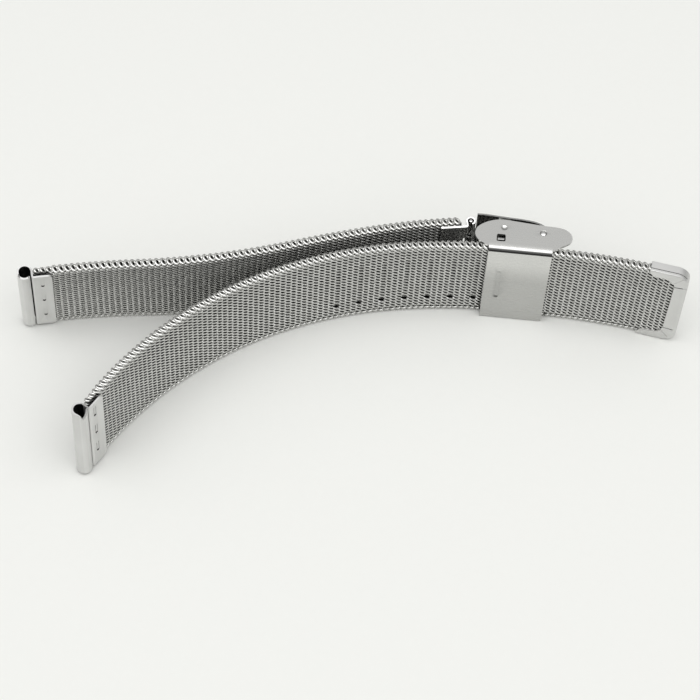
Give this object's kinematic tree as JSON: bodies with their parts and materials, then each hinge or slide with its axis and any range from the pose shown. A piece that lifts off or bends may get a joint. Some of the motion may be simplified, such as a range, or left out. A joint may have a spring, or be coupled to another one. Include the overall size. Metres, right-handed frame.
{
  "type": "milanese mesh watch band",
  "caption": "Woven steel mesh watch band in two halves, with rolled lug ends, a sliding fold-over clasp with adjusting slots, and a capped tail.",
  "frame": {"origin": "middle of the long half's lug bore, at mid width", "axes": "+X along the strap at the clasp, towards the capped tail; +Z along the lug bore, across the strap's width; -Y is the side worn against the skin"},
  "size_m": [0.1124, 0.0476, 0.019],
  "materials": {
    "woven_mesh": "flattened woven wire, bright on the crowns",
    "end_steel": "satin sheet",
    "clasp_steel": "satin sheet, polished on the bends",
    "pin_steel": "polished"
  },
  "bodies": {
    "clasp_mesh": {"mesh_clasp": "woven_mesh"},
    "slide": {"slide_body": "clasp_steel", "blade_pivot_pin": "pin_steel"},
    "lock": {"lock_plate": "clasp_steel"},
    "blade": {"fold_blade": "clasp_steel", "end_hinge_pin": "pin_steel"},
    "short_1": {"clasp_end_plate": "end_steel", "mesh_short_1": "woven_mesh"},
    "short_2": {"mesh_short_2": "woven_mesh"},
    "short_3": {"mesh_short_3": "woven_mesh"},
    "short_4": {"mesh_short_4": "woven_mesh"},
    "short_5": {"mesh_short_5": "woven_mesh"},
    "short_6": {"mesh_short_6": "woven_mesh", "lug_end_short": "end_steel"},
    "long_1": {"mesh_long_1": "woven_mesh"},
    "long_2": {"mesh_long_2": "woven_mesh"},
    "long_3": {"mesh_long_3": "woven_mesh"},
    "long_4": {"mesh_long_4": "woven_mesh"},
    "long_5": {"mesh_long_5": "woven_mesh"},
    "long_6": {"mesh_long_6": "woven_mesh", "lug_end_long": "end_steel"},
    "tail_1": {"mesh_tail_1": "woven_mesh"},
    "tail_2": {"mesh_tail_2": "woven_mesh", "tip_cap": "end_steel"}
  },
  "joints": [
    {"name": "adjust_slide", "type": "slide", "parent": "clasp_mesh", "child": "slide", "axis": [1, 0, 0], "range_m": [-0.002, 0.002]},
    {"name": "lock_lift", "type": "hinge", "parent": "slide", "child": "lock", "pos_m": [0.07227, 0.04305, 0], "axis": [0, 0, -1], "range_deg": [0, 5]},
    {"name": "blade_fold", "type": "hinge", "parent": "slide", "child": "blade", "pos_m": [0.07227, 0.04305, 0], "axis": [0, 0, -1], "range_deg": [-2.3, 145]},
    {"name": "short_end_hinge", "type": "hinge", "parent": "blade", "child": "short_1", "pos_m": [0.06001, 0.04489, 0], "axis": [0, 0, 1], "range_deg": [-115, 3]},
    {"name": "short_bend_1", "type": "hinge", "parent": "short_1", "child": "short_2", "pos_m": [0.04763, 0.04251, 0], "axis": [-0.0071, 0.0288, -0.9996], "range_deg": [-6, 12]},
    {"name": "short_bend_2", "type": "hinge", "parent": "short_2", "child": "short_3", "pos_m": [0.03557, 0.03887, 0], "axis": [-0.0185, 0.0564, -0.9982], "range_deg": [-6, 12]},
    {"name": "short_bend_3", "type": "hinge", "parent": "short_3", "child": "short_4", "pos_m": [0.02369, 0.03466, 0], "axis": [-0.0255, 0.0851, -0.996], "range_deg": [-6, 12]},
    {"name": "short_bend_4", "type": "hinge", "parent": "short_4", "child": "short_5", "pos_m": [0.01146, 0.03164, 0], "axis": [-0.0231, 0.1161, -0.993], "range_deg": [-6, 12]},
    {"name": "short_bend_5", "type": "hinge", "parent": "short_5", "child": "short_6", "pos_m": [-0.001, 0.02975, 0], "axis": [-0.0283, 0.1451, -0.989], "range_deg": [-6, 12]},
    {"name": "long_bend_1", "type": "hinge", "parent": "clasp_mesh", "child": "long_1", "pos_m": [0.05985, 0.0399, 0], "axis": [0, 0, 1], "range_deg": [-4, 14]},
    {"name": "long_bend_2", "type": "hinge", "parent": "long_1", "child": "long_2", "pos_m": [0.04737, 0.03814, 0], "axis": [0, 0, 1], "range_deg": [-4, 14]},
    {"name": "long_bend_3", "type": "hinge", "parent": "long_2", "child": "long_3", "pos_m": [0.03536, 0.03433, 0], "axis": [0, 0, 1], "range_deg": [-4, 14]},
    {"name": "long_bend_4", "type": "hinge", "parent": "long_3", "child": "long_4", "pos_m": [0.02422, 0.02846, 0], "axis": [0, 0, 1], "range_deg": [-4, 14]},
    {"name": "long_bend_5", "type": "hinge", "parent": "long_4", "child": "long_5", "pos_m": [0.01443, 0.02053, 0], "axis": [0, 0, 1], "range_deg": [-4, 14]},
    {"name": "long_bend_6", "type": "hinge", "parent": "long_5", "child": "long_6", "pos_m": [0.00624, 0.01094, 0], "axis": [0, 0, 1], "range_deg": [-4, 14]},
    {"name": "tail_bend_1", "type": "hinge", "parent": "clasp_mesh", "child": "tail_1", "pos_m": [0.0781, 0.0399, 0], "axis": [0, 0, -1], "range_deg": [-4, 12]},
    {"name": "tail_bend_2", "type": "hinge", "parent": "tail_1", "child": "tail_2", "pos_m": [0.08777, 0.03913, 0], "axis": [0, 0, -1], "range_deg": [-4, 12]}
  ]
}
